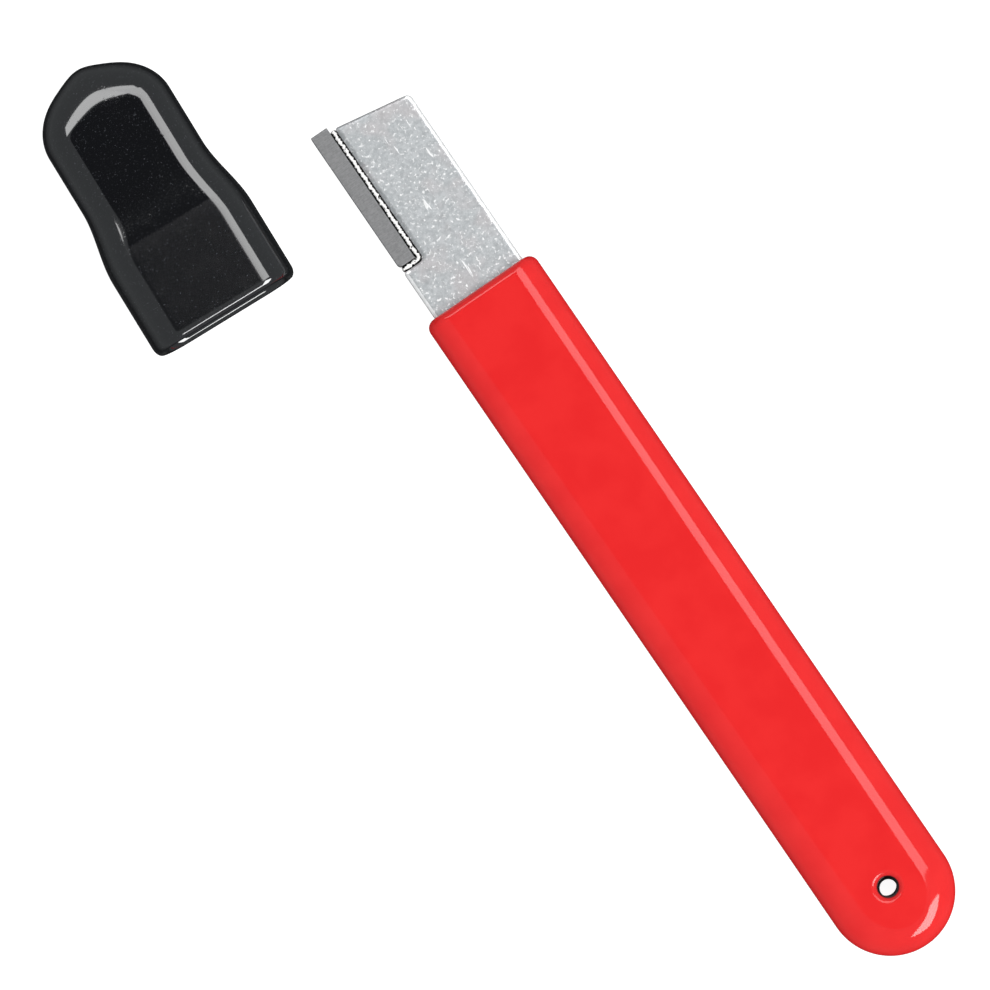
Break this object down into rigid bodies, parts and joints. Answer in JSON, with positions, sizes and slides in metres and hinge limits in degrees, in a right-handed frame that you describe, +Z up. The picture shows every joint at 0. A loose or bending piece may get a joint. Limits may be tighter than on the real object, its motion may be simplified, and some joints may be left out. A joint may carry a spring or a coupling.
{
  "type": "carbide blade sharpener",
  "caption": "Flat hand sharpener: a carbide insert brazed into the edge of a plated steel bar, with a dipped vinyl grip, a hang hole and a pull-off vinyl cap lying beside it.",
  "frame": {"origin": "on the tool's centre line, half-way along the grip, in the plane of the grip's underside, on which the tool and its cap both lie", "axes": "+X to the right across the tool with the blade pointing away, so the insert is on the -X edge; +Y along the tool from the hang hole to the blade; +Z up, out of the grip's front face"},
  "size_m": [0.0462, 0.1506, 0.0107],
  "materials": {
    "plated_steel": "dull bright plating, finely mottled, with light handling scratches",
    "ground_carbide": "mid grey, finely ground along its length",
    "braze_filler": "silvery, wetted, slightly uneven",
    "red_vinyl": "glossy dipped vinyl, softly uneven",
    "black_vinyl": "glossy dipped vinyl with fine pimples"
  },
  "bodies": {
    "tool": {"steel_bar": "plated_steel", "carbide_insert": "ground_carbide", "braze_seam": "braze_filler", "grip": "red_vinyl"},
    "cap": {"cap": "black_vinyl"}
  },
  "joints": [
    {"name": "cap_slide", "type": "slide", "parent": "tool", "child": "cap", "axis": [0.0506, 0.9987, 0], "range_m": [-0.0205, 0.0125]}
  ]
}
